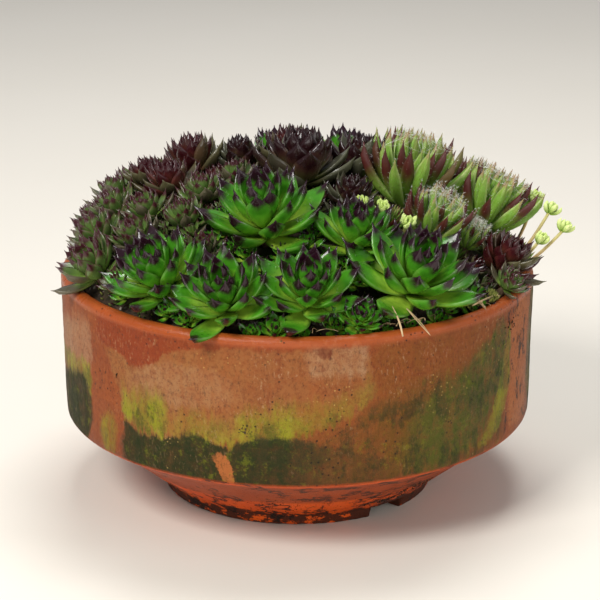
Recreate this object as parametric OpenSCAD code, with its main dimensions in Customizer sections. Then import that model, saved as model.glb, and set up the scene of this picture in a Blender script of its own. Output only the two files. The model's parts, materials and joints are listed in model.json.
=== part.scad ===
// Shallow terracotta pan planted with houseleeks: a thrown clay bowl on a notched foot ring,
// crocks over its drain hole, a layer of grit, and a root ball with its rosettes that lifts out.
// Millimetres. +Z is up, the origin is the middle of the foot ring's underside.

/* [Pot] */
// Outside diameter at the rim
rim_d = 280; // [270:1:300]
// Height from the bench to the top of the rim
pot_h = 134; // [130:1:150]
// Height of the shoulder, where the wall turns in to the foot
shoulder_z = 47.5; // [45:0.5:50]
// How much narrower the wall is at the shoulder than at the rim, on the radius
wall_flare = 1.7; // [0.5:0.1:3]
// Thickness of the clay wall
wall_t = 8.5; // [7:0.5:9]
// Outside diameter of the foot ring
foot_d = 160; // [156:1:162]
// Height of the foot ring, which is also the depth of the recess inside it
foot_h = 7; // [6:0.5:8]
// Thickness of the clay floor
floor_t = 9; // [8:0.5:9]

/* [Drainage] */
// Diameter of the drain hole
drain_d = 24; // [18:1:30]
// Width of each water notch through the foot ring
notch_w = 22; // [16:1:24]
// Direction of the first water notch, in degrees from +X
notch_angle = -50; // [-60:1:-40]
// Depth of the grit layer on the floor
grit_h = 12; // [12:0.5:12.5]

/* [Planting] */
// Gap between the root ball and the clay
root_gap = 0.8; // [0.5:0.1:1.2]
// Height of the compost mound's top
mound_z = 170; // [168:0.5:171]
// Radius of each rosette's neck
neck_r = 3.5; // [3:0.5:4]

/* [Hidden] */
rim_r = rim_d / 2;
foot_r = foot_d / 2;
shoulder_r = rim_r - wall_flare;
rim_outer_round = 4.5;
rim_inner_round = 3.5;
shoulder_round = 4;
foot_ring_w = 10;
foot_flare = 2;
notch_h = foot_h - 0.6;
belly = [rim_r - 22, 35.3];          // where the belly under the shoulder steepens
floor_z = foot_h + floor_t;          // top of the clay floor
floor_r = foot_r - 1.5;
inner_belly = [belly[0] - 5.5, belly[1] + 7.1];
inner_corner = [shoulder_r - 8.3, shoulder_z + 5];
inner_round = 8;
rim_inner_r = rim_r - wall_t + 0.5;
grit_top = floor_z + grit_h;
bed_gap = 0.05;                      // loose pieces stand this far off the clay below them
mound_centre = [-10, 22];            // the mound is highest behind the middle
mound_r = 262;
edge_z = pot_h - 8;                  // compost level against the clay
rooting_depth = 6;
pocket_gap = 0.4;
stem_r = 0.8;                        // of a runner
rim_clear_z = pot_h + 0.6;
rim_clear_r = rim_inner_r - 1;
$fn = 96;

// The planting plan. Each row: node name, kind, root crown [x, y, z], leaf radius, tilt.
plants = [
  ["green_rosette_1", "green", [-74, -80, 142], 27, 27],
  ["green_rosette_2", "green", [-38, -108, 139], 26, 28],
  ["green_rosette_3", "green", [5, -106, 142], 25, 26],
  ["green_rosette_4", "green", [62, -88, 142], 31, 26],
  ["green_rosette_5", "green", [-18, -47, 164], 31, 16],
  ["green_rosette_6", "green", [32, -57, 159], 23, 15],
  ["green_rosette_7", "green", [33, -118, 135], 12, 32],
  ["green_rosette_8", "green", [29, 105, 158], 23, 24],
  ["green_rosette_9", "green", [-14, 112, 158], 21, 24],
  ["purple_offset_1", "offset", [-113, -50, 141], 19, 34],
  ["purple_offset_2", "offset", [-113, -15, 149], 17, 32],
  ["purple_offset_3", "offset", [-90, -36, 155], 15, 26],
  ["purple_offset_4", "offset", [-106, 15, 157], 15, 28],
  ["purple_offset_5", "offset", [-86, -8, 163], 14, 22],
  ["purple_offset_6", "offset", [-64, -25, 163], 14, 17],
  ["purple_offset_7", "offset", [-52, -64, 156], 12, 18],
  ["purple_offset_8", "offset", [-54, 1, 170], 15, 12],
  ["purple_offset_9", "offset", [-28, -5, 172], 13, 6],
  ["purple_offset_10", "offset", [-107, 47, 156], 15, 30],
  ["purple_offset_11", "offset", [-120, 29, 148], 12, 38],
  ["purple_offset_12", "offset", [-35, 23, 175], 13, 8],
  ["purple_offset_13", "offset", [-98, 78, 151], 17, 30],
  ["purple_offset_14", "offset", [-76, 104, 151], 16, 30],
  ["purple_offset_15", "offset", [-45, 114, 154], 13, 28],
  ["purple_offset_16", "offset", [-101, -68, 141], 9, 32],
  ["red_rosette_1", "red", [-73, 23, 168], 18, 16],
  ["red_rosette_2", "red", [-62, 62, 170], 20, 18],
  ["red_rosette_3", "red", [-88, 50, 166], 15, 22],
  ["red_rosette_4", "red", [-4, 64, 176], 19, 12],
  ["red_rosette_5", "red", [-60, 88, 161], 14, 24],
  ["red_rosette_6", "red", [5, 88, 167], 13, 18],
  ["grey_rosette_1", "dark", [-34, 65, 173], 17, 12],
  ["grey_rosette_2", "dark", [-37, 90, 165], 15, 20],
  ["dark_rosette_1", "dark", [2, 19, 175], 28, 6],
  ["dark_rosette_2", "dark", [37, 47, 171], 23, 12],
  ["dark_rosette_3", "dark", [30, -3, 170], 15, 10],
  ["cobweb_rosette_1", "cobweb", [64, 18, 163], 32, 14],
  ["cobweb_rosette_2", "cobweb", [109, 13, 149], 28, 24],
  ["cobweb_rosette_3", "cobweb", [76, -26, 156], 22, 18],
  ["cobweb_rosette_4", "cobweb", [66, 83, 155], 26, 24],
  ["cobweb_rosette_5", "cobweb", [102, 57, 148], 24, 28],
  ["cobweb_rosette_6", "cobweb", [98, -20, 149], 13, 24],
  ["rim_rosette_1", "red", [116, -32, 138], 19, 33],
  ["rim_rosette_2", "offset", [118, -56, 136], 11, 36],
  ["rim_rosette_3", "offset", [95, 89, 142], 14, 34],
  ["rim_rosette_4", "offset", [62, 114, 146], 13, 30]
];

// Whorls of each kind, lowest first: leaf count, rise in degrees, length as a share of the radius,
// and how much of the gap to its neighbours each leaf fills.
function whorls(kind) =
  kind == "green" ? [[8, 18, 0.98, 0.9], [7, 40, 0.85, 0.9], [5, 61, 0.7, 0.9]] :
  kind == "offset" ? [[7, 22, 0.98, 0.88], [6, 44, 0.87, 0.88], [4, 62, 0.74, 0.88]] :
  kind == "red" ? [[8, 24, 0.98, 0.9], [7, 45, 0.88, 0.9], [4, 62, 0.75, 0.88]] :
  kind == "dark" ? [[7, 20, 0.98, 0.92], [6, 42, 0.87, 0.92], [4, 61, 0.75, 0.88]] :
  [[9, 32, 0.98, 0.66], [8, 50, 0.93, 0.8], [5, 66, 0.88, 0.88]];

function leaf_colour(kind) =
  kind == "green" ? [0.22, 0.55, 0.12] :
  kind == "offset" ? [0.32, 0.34, 0.22] :
  kind == "red" ? [0.34, 0.1, 0.1] :
  kind == "dark" ? [0.2, 0.13, 0.13] : [0.45, 0.6, 0.32];

// Runners that carry a young plantlet: start and end of the runner, and the plantlet's radius.
right_runners = [
  [[121, -10, 134], [148, -2, 166], 5.5],
  [[123, -13, 132], [156, -10, 157], 5.5],
  [[120, -13, 132], [141, -19, 153], 5],
  [[127, 31, 132], [141, 18, 168], 4.5]
];
middle_runners = [
  [[45, -8, 158], [37, -26, 177], 5],
  [[50, -16, 156], [49, -32, 176], 4.5],
  [[55, -30, 152], [62, -47, 171], 6]
];

// Dry grass stalks that lie over the rim at the front right: the two ends of each.
stalks = [
  [[52, -118, 146], [57, -141, 136.5]],
  [[60, -116, 144], [72, -138, 136]],
  [[98, -84, 142], [105, -96, 137]],
  [[112, -72, 137.5], [98, -88, 136.5]]
];

function arc(c, r, from, to, n = 6) =
  [for (i = [0:n]) let (a = from + (to - from) * i / n) c + r * [cos(a), sin(a)]];

function unit(v) = v / norm(v);

// Points of a rounded corner at p between the lines from p towards a and towards b.
function rounded(p, a, b, r, n = 6) =
  let (
    u = unit(a - p), v = unit(b - p),
    half = acos(u * v) / 2,
    c = p + unit(u + v) * r / sin(half),
    pa = p + u * r / tan(half) - c, pb = p + v * r / tan(half) - c,
    from = atan2(pa[1], pa[0]),
    turn = atan2(pb[1], pb[0]) - from,
    sweep = turn > 180 ? turn - 360 : turn < -180 ? turn + 360 : turn
  ) arc(c, r, from, from + sweep, n);

function pot_section() =
  let (
    wall_top = [rim_r, pot_h - rim_outer_round],
    shoulder = [shoulder_r, shoulder_z],
    inner_top = [rim_inner_r, pot_h - rim_inner_round]
  ) concat(
    [[foot_r - foot_ring_w, 0], [foot_r, 0], [foot_r + foot_flare, foot_h]],
    [belly],
    rounded(shoulder, belly, wall_top, shoulder_round),
    arc([rim_r - rim_outer_round, pot_h - rim_outer_round], rim_outer_round, 0, 90),
    arc([rim_inner_r + rim_inner_round, pot_h - rim_inner_round], rim_inner_round, 90, 180),
    rounded(inner_corner, inner_top, inner_belly, inner_round),
    [inner_belly, [floor_r, floor_z], [0, floor_z], [0, foot_h], [foot_r - foot_ring_w, foot_h]]
  );

// Radius of the clay inside at height z, between the floor and the inner belly point.
function inner_r(z) =
  floor_r + (inner_belly[0] - floor_r) * (z - floor_z) / (inner_belly[1] - floor_z);

function ground_z(p) =
  mound_z - mound_r + sqrt(pow(mound_r, 2) - pow(norm([p[0], p[1]] - mound_centre), 2));

function facing(p) = atan2(p[1], p[0]);

// The mound as a dome of straight bands about its own middle, reaching past the clay all round.
function mound_section() =
  concat([for (r = [0:20:180]) [r, mound_z - mound_r + sqrt(pow(mound_r, 2) - r * r)]], [[180, 0], [0, 0]]);

module pot() {
  color("peru")
  difference() {
    rotate_extrude() polygon(pot_section());
    translate([0, 0, foot_h - 1]) cylinder(d = drain_d, h = floor_t + 2);
    for (a = [notch_angle, notch_angle + 180])
      rotate(a) translate([foot_r - foot_ring_w - 3, -notch_w / 2, -1])
        cube([foot_ring_w + 6, notch_w, notch_h + 1]);
  }
}

// A curved shard of an old pot, laid hollow side down over the drain hole.
crock_r = 68;
crock_t = 7;
crock_half = 25;
module crock_over_drain() {
  outline = [[-24, -20], [-8, -27], [19, -23], [25, -2], [17, 24], [-4, 28], [-25, 14]];
  color("sienna")
  intersection() {
    translate([0, 0, floor_z + bed_gap - sqrt(pow(crock_r, 2) - pow(crock_half, 2))])
      rotate([90, 0, 0]) difference() {
        cylinder(r = crock_r + crock_t, h = 80, center = true);
        cylinder(r = crock_r, h = 82, center = true);
      }
    translate([0, 0, floor_z + bed_gap]) linear_extrude(40) polygon(outline);
  }
}

// A flat shard beside it.
side_shard = [57, 14];
module crock_side() {
  outline = [[-13, -6], [2, -13], [13, -3], [8, 11], [-9, 9]];
  color("sienna")
  translate([side_shard[0], side_shard[1], floor_z + bed_gap])
    linear_extrude(crock_t) polygon(outline);
}

module grit_layer() {
  z0 = floor_z + bed_gap;
  color("darkgray")
  difference() {
    rotate_extrude() polygon([
      [0, z0], [floor_r - 0.6, z0], [inner_r(grit_top) - 0.6, grit_top], [0, grit_top]
    ]);
    translate([0, 0, floor_z - 1]) cylinder(r = 36, h = grit_h + 2);
    translate([side_shard[0], side_shard[1], floor_z - 1]) cylinder(r = 16, h = grit_h + 2);
  }
}

module root_ball_body() {
  z0 = grit_top + 0.3;
  g = root_gap;
  crown_r = rim_inner_r - 1.3;
  corner = [inner_corner[0] - g, inner_corner[1] + g];
  belly_in = [inner_belly[0] - g, inner_belly[1] + g];
  crown = [[crown_r, edge_z], [crown_r - 12, edge_z + 19], [0, mound_z + 35]];
  intersection() {
    rotate_extrude() polygon(concat(
      [[0, z0], [inner_r(z0) - g - 0.6, z0]],
      [belly_in],
      rounded(corner, belly_in, [crown_r, edge_z], inner_round),
      crown
    ));
    translate([mound_centre[0], mound_centre[1], 0]) rotate_extrude() polygon(mound_section());
  }
}

module root_ball() {
  color("saddlebrown")
  difference() {
    root_ball_body();
    for (p = plants) at_crown(p) translate([0, 0, -neck_length(p) - 0.5])
      cylinder(r = neck_r + pocket_gap, h = neck_length(p) + 3, $fn = 8);
    for (row = concat(right_runners, middle_runners))
      rod(row[0] - 0.5 * unit(row[1] - row[0]), row[1], stem_r + pocket_gap);
  }
}

module moss_cushion() {
  color("olivedrab")
  difference() {
    translate([104, -70, 124]) sphere(r = 14);
    root_ball_body();
    rim_keep_out();
  }
}

// Turns local +Z to the way a plant faces and moves it to the plant's crown.
module at_crown(p) {
  translate(p[2]) rotate([0, p[4], facing(p[2])]) children();
}

function neck_length(p) = max(0, (p[2][2] - ground_z(p[2])) / cos(p[4])) + rooting_depth;

// The ring of space that the clay rim takes, kept free of leaves.
module rim_keep_out() {
  difference() {
    cylinder(r = 2 * rim_r, h = rim_clear_z);
    translate([0, 0, -1]) cylinder(r = rim_clear_r, h = rim_clear_z + 2);
  }
}

// One flat leaf along +X, broadest two thirds of the way out, with a short point at its tip.
module leaf(root, length, root_half, half, thick) {
  linear_extrude(thick, center = true)
    polygon([
      [root, -root_half], [0.68 * length, -half], [0.88 * length, -0.62 * half],
      [length, 0],
      [0.88 * length, 0.62 * half], [0.68 * length, half], [root, root_half]
    ]);
}

// A ring of leaves that stand clear of each other outside the rosette's core.
module whorl(count, rise, length, fill, root, thick, start) {
  for (i = [0:count - 1])
    rotate(start + 360 * i / count) rotate([0, -rise, 0])
      leaf(root, length, 0.8 * room(root, rise, thick, count),
           fill * room(0.68 * length, rise, thick, count), thick);
}

// Half the width that a leaf may have at a distance s along it before it meets its neighbours.
function room(s, rise, thick, count) = (s * cos(rise) - thick / 2 * sin(rise)) * tan(180 / count);

module rosette(p) {
  r = p[3];
  rows = whorls(p[1]);
  thick = max(1, 0.075 * r);
  core_r = 0.2 * r;
  turn = 37 * (p[2][0] + 2 * p[2][1]) % 360;
  color(leaf_colour(p[1]))
  difference() {
    at_crown(p) {
      translate([0, 0, -neck_length(p)]) cylinder(r = neck_r, h = neck_length(p) + 1, $fn = 8);
      cylinder(r = max(neck_r + 0.5, core_r), h = 0.42 * r, $fn = 8);
      for (k = [0:len(rows) - 1])
        translate([0, 0, (0.06 + 0.07 * k) * r])
          whorl(rows[k][0], rows[k][1], rows[k][2] * r, rows[k][3], 0.8 * core_r, thick, turn + 23 * k);
    }
    if (norm([p[2][0], p[2][1]]) + r > rim_clear_r) rim_keep_out();
  }
}

// A straight round rod between two points.
module rod(a, b, r) {
  v = b - a;
  translate(a) rotate([0, acos(v[2] / norm(v)), facing(v)]) cylinder(r = r, h = norm(v), $fn = 16);
}

module runner(row) {
  rod(row[0], row[1], stem_r);
  translate(row[1]) rotate([0, 50, facing(row[1] - row[0])]) {
    whorl(5, 40, row[2], 0.9, 0.24 * row[2], 0.7, 0);
    cylinder(r = 0.3 * row[2], h = 0.8 * row[2], $fn = 8);
  }
}

module runners_right() {
  color("yellowgreen") for (row = right_runners) runner(row);
}

module runners_middle() {
  color("yellowgreen") for (row = middle_runners) runner(row);
}

module dry_stalks() {
  color("tan") for (s = stalks) rod(s[0], s[1], 0.5);
}

pot();
crock_over_drain();
crock_side();
grit_layer();
root_ball();
moss_cushion();
runners_right();
runners_middle();
dry_stalks();
for (p = plants) rosette(p);
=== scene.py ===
import json
import math
import random

import bmesh
import bpy
import numpy as np
from mathutils import Matrix, Vector
from mathutils.bvhtree import BVHTree
from mathutils.noise import noise, turbulence


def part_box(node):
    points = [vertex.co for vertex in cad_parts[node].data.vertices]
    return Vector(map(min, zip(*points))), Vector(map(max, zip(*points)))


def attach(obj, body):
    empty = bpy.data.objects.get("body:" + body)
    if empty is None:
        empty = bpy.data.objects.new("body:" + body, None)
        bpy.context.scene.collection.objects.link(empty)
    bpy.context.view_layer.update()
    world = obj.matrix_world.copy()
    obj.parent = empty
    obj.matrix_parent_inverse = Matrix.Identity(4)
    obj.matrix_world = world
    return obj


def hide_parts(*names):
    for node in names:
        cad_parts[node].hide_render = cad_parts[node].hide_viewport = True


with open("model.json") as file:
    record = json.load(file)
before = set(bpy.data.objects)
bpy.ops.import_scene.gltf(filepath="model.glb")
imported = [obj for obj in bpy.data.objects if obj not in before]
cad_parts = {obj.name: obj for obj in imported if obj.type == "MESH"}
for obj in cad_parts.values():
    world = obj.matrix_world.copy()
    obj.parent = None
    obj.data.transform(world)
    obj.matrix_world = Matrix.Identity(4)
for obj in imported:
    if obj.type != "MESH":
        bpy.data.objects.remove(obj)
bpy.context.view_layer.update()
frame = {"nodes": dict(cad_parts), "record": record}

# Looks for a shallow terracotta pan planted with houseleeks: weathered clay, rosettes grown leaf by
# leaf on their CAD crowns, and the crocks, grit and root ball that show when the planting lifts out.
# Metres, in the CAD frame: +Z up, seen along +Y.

MM = 0.001
GOLDEN = math.radians(137.508)
SLOT_OF = {row["node"]: row["material_slot"] for row in frame["record"]["subparts"]}
rng = random.Random(7)

# ---------------------------------------------------------------- camera and light

FOCAL = 156.0                       # on a 36 mm sensor
CAMERA_AT = (0.0, -1.4705, 0.5935)
PITCH_DOWN = 18.17                  # degrees
YAW_RIGHT = 0.06


def make_camera():
    data = bpy.data.cameras.new("camera")
    data.lens = FOCAL
    data.sensor_width = 36
    data.clip_end = 20
    camera = bpy.data.objects.new("camera", data)
    camera.location = CAMERA_AT
    camera.rotation_euler = (math.radians(90 - PITCH_DOWN), 0, -math.radians(YAW_RIGHT))
    bpy.context.scene.collection.objects.link(camera)
    bpy.context.scene.camera = camera


def area_light(name, at, aim, size, power, colour=(1, 1, 1)):
    data = bpy.data.lights.new(name, "AREA")
    data.shape = "RECTANGLE"
    data.size, data.size_y = size
    data.energy = power
    data.color = colour
    light = bpy.data.objects.new(name, data)
    light.location = at
    light.rotation_euler = (Vector(aim) - Vector(at)).to_track_quat("-Z", "Y").to_euler()
    bpy.context.scene.collection.objects.link(light)


def make_lights():
    area_light("window", (-0.9, -1.1, 1.4), (0, 0, 0.1), (0.8, 0.6), 33, (1.0, 0.985, 0.96))
    area_light("fill", (1.5, -0.9, 0.7), (0, 0, 0.1), (1.2, 1.0), 9, (1.0, 0.97, 0.93))
    area_light("front", (-0.2, -1.9, 0.28), (0, 0, 0.05), (1.6, 0.4), 9, (1.0, 0.97, 0.94))
    area_light("top", (0.1, 0.5, 1.6), (0, 0, 0.12), (0.8, 0.6), 19)
    world = bpy.data.worlds.new("studio")
    world.use_nodes = True
    background = world.node_tree.nodes["Background"]
    background.inputs["Color"].default_value = (0.92, 0.94, 1.0, 1)
    background.inputs["Strength"].default_value = 0.32
    bpy.context.scene.world = world
    bpy.context.scene.view_settings.view_transform = "Standard"


# ---------------------------------------------------------------- mesh helpers

def make_object(name, verts, faces, material, attributes=()):
    """A mesh object from lists or arrays; attributes are (name, n by 4 colours) per vertex."""
    mesh = bpy.data.meshes.new(name)
    mesh.from_pydata([tuple(v) for v in verts], [], [tuple(f) for f in faces])
    mesh.polygons.foreach_set("use_smooth", [True] * len(mesh.polygons))
    for key, values in attributes:
        layer = mesh.attributes.new(key, "FLOAT_COLOR", "POINT")
        layer.data.foreach_set("color", np.asarray(values, float).ravel())
    mesh.validate()
    obj = bpy.data.objects.new(name, mesh)
    obj.data.materials.append(material)
    bpy.context.scene.collection.objects.link(obj)
    return obj


class Soup:
    """Collects many small surfaces, each with its own vertex colours, into one mesh."""

    def __init__(self):
        self.verts, self.faces, self.colours, self.count = [], [], [], 0

    def add(self, verts, faces, colours):
        self.verts.append(np.asarray(verts, float))
        self.faces.extend(tuple(i + self.count for i in face) for face in faces)
        self.colours.append(np.asarray(colours, float))
        self.count += len(verts)

    def build(self, name, material):
        return make_object(name, np.vstack(self.verts), self.faces, material,
                           [("leaf", np.vstack(self.colours))])


def cad_vertices(node):
    mesh = frame["nodes"][node].data
    points = np.empty(len(mesh.vertices) * 3)
    mesh.vertices.foreach_get("co", points)
    return points.reshape(-1, 3)


def welded_copy(node, name):
    """A free copy of a CAD node's mesh with its split vertices joined again."""
    mesh = frame["nodes"][node].data.copy()
    mesh.materials.clear()
    work = bmesh.new()
    work.from_mesh(mesh)
    bmesh.ops.remove_doubles(work, verts=work.verts, dist=1e-6)
    work.to_mesh(mesh)
    work.free()
    obj = bpy.data.objects.new(name, mesh)
    bpy.context.scene.collection.objects.link(obj)
    return obj


def apply_modifiers(obj):
    graph = bpy.context.evaluated_depsgraph_get()
    mesh = bpy.data.meshes.new_from_object(obj.evaluated_get(graph))
    obj.modifiers.clear()
    obj.data = mesh


def remeshed_copy(node, name, material, voxel, wear, grain):
    """A CAD node's shape with its surface worn back by up to wear, in lumps of about grain."""
    obj = welded_copy(node, name)
    remesh = obj.modifiers.new("remesh", "REMESH")
    remesh.mode = "VOXEL"
    remesh.voxel_size = voxel
    apply_modifiers(obj)
    mesh = obj.data
    for vertex, normal in zip(mesh.vertices, [v.normal.copy() for v in mesh.vertices]):
        lump = 0.5 + 0.5 * turbulence(vertex.co / grain, 3, False)
        vertex.co -= normal * wear * min(1, max(0, lump))
    mesh.polygons.foreach_set("use_smooth", [True] * len(mesh.polygons))
    mesh.materials.clear()
    mesh.materials.append(material)
    return obj


def islands(node):
    """The vertices of each separate solid in a CAD node, as arrays."""
    obj = welded_copy(node, node + "_islands")
    work = bmesh.new()
    work.from_mesh(obj.data)
    left, found = set(work.verts), []
    while left:
        stack, group = [left.pop()], []
        while stack:
            vertex = stack.pop()
            group.append(tuple(vertex.co))
            for edge in vertex.link_edges:
                other = edge.other_vert(vertex)
                if other in left:
                    left.discard(other)
                    stack.append(other)
        found.append(np.array(group))
    work.free()
    bpy.data.objects.remove(obj)
    return sorted(found, key=lambda g: tuple(g.mean(axis=0)))


def frames_along(path):
    """Side and up vectors for each point of a path."""
    path = np.asarray(path)
    along = np.gradient(path, axis=0)
    along /= np.linalg.norm(along, axis=1)[:, None]
    guide = np.array([0, 0, 1.0]) if abs(along[0][2]) < 0.9 else np.array([1.0, 0, 0])
    side = np.cross(along, guide)
    side /= np.linalg.norm(side, axis=1)[:, None]
    return side, np.cross(side, along)


def tube(path, radii, sides=6):
    """Vertices and faces of a closed tube along a path, with a point at each end."""
    path = np.asarray(path, float)
    side, up = frames_along(path)
    turn = np.arange(sides) * 2 * math.pi / sides
    ring = np.cos(turn)[None, :, None] * side[:, None] + np.sin(turn)[None, :, None] * up[:, None]
    verts = (path[:, None] + ring * np.asarray(radii, float)[:, None, None]).reshape(-1, 3)
    rows = len(path)
    faces = [(r * sides + k, r * sides + (k + 1) % sides,
              (r + 1) * sides + (k + 1) % sides, (r + 1) * sides + k)
             for r in range(rows - 1) for k in range(sides)]
    faces.append(tuple(range(sides))[::-1])
    faces.append(tuple((rows - 1) * sides + k for k in range(sides)))
    return verts, faces


# ---------------------------------------------------------------- material helpers

TALLEST = 160.0                     # mm, above every edge of a coat, so that a ramp can hold it


class Nodes:
    """Short names for building a node tree by hand."""

    def __init__(self, name):
        self.material = bpy.data.materials.new(name)
        self.material.use_nodes = True
        self.tree = self.material.node_tree
        self.tree.nodes.clear()
        self.shader = self.tree.nodes.new("ShaderNodeBsdfPrincipled")
        output = self.tree.nodes.new("ShaderNodeOutputMaterial")
        self.tree.links.new(self.shader.outputs[0], output.inputs[0])
        self.place = self.tree.nodes.new("ShaderNodeTexCoord").outputs["Object"]

    def put(self, value, socket):
        if isinstance(value, bpy.types.NodeSocket):
            self.tree.links.new(value, socket)
        elif isinstance(value, (tuple, list)) and len(value) == 3 and socket.type == "RGBA":
            socket.default_value = (*value, 1)
        else:
            socket.default_value = value

    def math(self, kind, a, b=0.0):
        node = self.tree.nodes.new("ShaderNodeMath")
        node.operation = kind
        for socket, value in zip(node.inputs, (a, b)):
            self.put(value, socket)
        return node.outputs[0]

    def add(self, a, b):
        return self.math("ADD", a, b)

    def mul(self, a, b):
        return self.math("MULTIPLY", a, b)

    def sub(self, a, b):
        return self.math("SUBTRACT", a, b)

    def most(self, a, b):
        return self.math("MAXIMUM", a, b)

    def invert(self, a):
        return self.math("SUBTRACT", 1.0, a)

    def step(self, value, low, high):
        """0 below low, 1 above high and smooth between; low may be the greater."""
        node = self.tree.nodes.new("ShaderNodeMapRange")
        node.interpolation_type = "SMOOTHSTEP"
        for socket, v in zip(node.inputs, (value, low, high, 0.0, 1.0)):
            self.put(v, socket)
        return node.outputs[0]

    def mix(self, amount, a, b):
        node = self.tree.nodes.new("ShaderNodeMix")
        node.data_type = "RGBA"
        self.put(amount, node.inputs[0])
        self.put(a, node.inputs[6])
        self.put(b, node.inputs[7])
        return node.outputs[2]

    def curves(self, value, stops):
        """Low, high and strength of a coat, straight between stops of (value, low, high, strength)."""
        spread = self.tree.nodes.new("ShaderNodeMapRange")
        for socket, v in zip(spread.inputs, (value, stops[0][0], stops[-1][0], 0.0, 1.0)):
            self.put(v, socket)
        ramp = self.tree.nodes.new("ShaderNodeValToRGB")
        self.put(spread.outputs[0], ramp.inputs[0])
        marks = ramp.color_ramp.elements
        for at, low, high, strength in stops[1:-1]:
            mark = marks.new((at - stops[0][0]) / (stops[-1][0] - stops[0][0]))
            mark.color = (low / TALLEST, high / TALLEST, strength, 1)
        for mark, (_, low, high, strength) in ((marks[0], stops[0]), (marks[len(marks) - 1], stops[-1])):
            mark.color = (low / TALLEST, high / TALLEST, strength, 1)
        split = self.tree.nodes.new("ShaderNodeSeparateColor")
        self.put(ramp.outputs[0], split.inputs[0])
        low, high, strength = split.outputs
        return self.mul(low, TALLEST), self.mul(high, TALLEST), strength

    def vector(self, x, y, z=0.0):
        node = self.tree.nodes.new("ShaderNodeCombineXYZ")
        for socket, value in zip(node.inputs, (x, y, z)):
            self.put(value, socket)
        return node.outputs[0]

    def noise(self, scale, detail=3.0, stretch=None, seed=0.0, rough=0.55, place=None):
        place = place or self.place
        if stretch or seed:
            node = self.tree.nodes.new("ShaderNodeMapping")
            node.inputs["Scale"].default_value = stretch or (1, 1, 1)
            node.inputs["Location"].default_value = (seed, seed * 0.7, seed * 1.3)
            self.put(place, node.inputs[0])
            place = node.outputs[0]
        node = self.tree.nodes.new("ShaderNodeTexNoise")
        node.inputs["Scale"].default_value = scale
        node.inputs["Detail"].default_value = detail
        node.inputs["Roughness"].default_value = rough
        self.put(place, node.inputs["Vector"])
        return node.outputs[0]

    def cells(self, scale, place=None):
        node = self.tree.nodes.new("ShaderNodeTexVoronoi")
        node.inputs["Scale"].default_value = scale
        self.put(place or self.place, node.inputs["Vector"])
        return node.outputs["Distance"]

    def axes(self):
        node = self.tree.nodes.new("ShaderNodeSeparateXYZ")
        self.put(self.place, node.inputs[0])
        return node.outputs

    def attribute(self, name):
        node = self.tree.nodes.new("ShaderNodeAttribute")
        node.attribute_name = name
        split = self.tree.nodes.new("ShaderNodeSeparateColor")
        self.put(node.outputs["Color"], split.inputs[0])
        return (*split.outputs, node.outputs["Alpha"])

    def bump(self, layers):
        """Layers of (height socket, distance in metres, strength), one on the next."""
        normal = None
        for height, distance, strength in layers:
            node = self.tree.nodes.new("ShaderNodeBump")
            node.inputs["Strength"].default_value = strength
            node.inputs["Distance"].default_value = distance
            self.put(height, node.inputs["Height"])
            if normal:
                self.put(normal, node.inputs["Normal"])
            normal = node.outputs[0]
        return normal

    def finish(self, colour, roughness, normal=None, **constants):
        self.put(colour, self.shader.inputs["Base Color"])
        self.put(roughness, self.shader.inputs["Roughness"])
        if normal:
            self.put(normal, self.shader.inputs["Normal"])
        for name, value in constants.items():
            self.shader.inputs[name.replace("_", " ")].default_value = value
        return self.material


# ---------------------------------------------------------------- clay

CLAY = (0.205, 0.042, 0.006)
CLAY_LIGHT = (0.255, 0.060, 0.010)
CLAY_DARK = (0.115, 0.019, 0.003)
CLAY_WET = (0.195, 0.027, 0.002)
RAW_CLAY = (0.74, 0.105, 0.007)
RAW_CLAY_DARK = (0.54, 0.066, 0.005)
RUBBED_CLAY = (0.36, 0.075, 0.016)
DAMP_CLAY = (0.10, 0.03, 0.012)
DRY_CRUMB = (0.50, 0.34, 0.10)
SALMON = (0.34, 0.10, 0.022)
LIME = (0.25, 0.100, 0.026)
LIME_WHITE = (0.36, 0.22, 0.115)
ALGAE_DARK = (0.011, 0.019, 0.001)
ALGAE_GREEN = (0.050, 0.072, 0.004)
ALGAE_OLIVE = (0.125, 0.052, 0.003)
ALGAE_BRIGHT = (0.225, 0.245, 0.006)
FILM = (0.165, 0.052, 0.004)
SOIL = (0.012, 0.007, 0.004)

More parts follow.
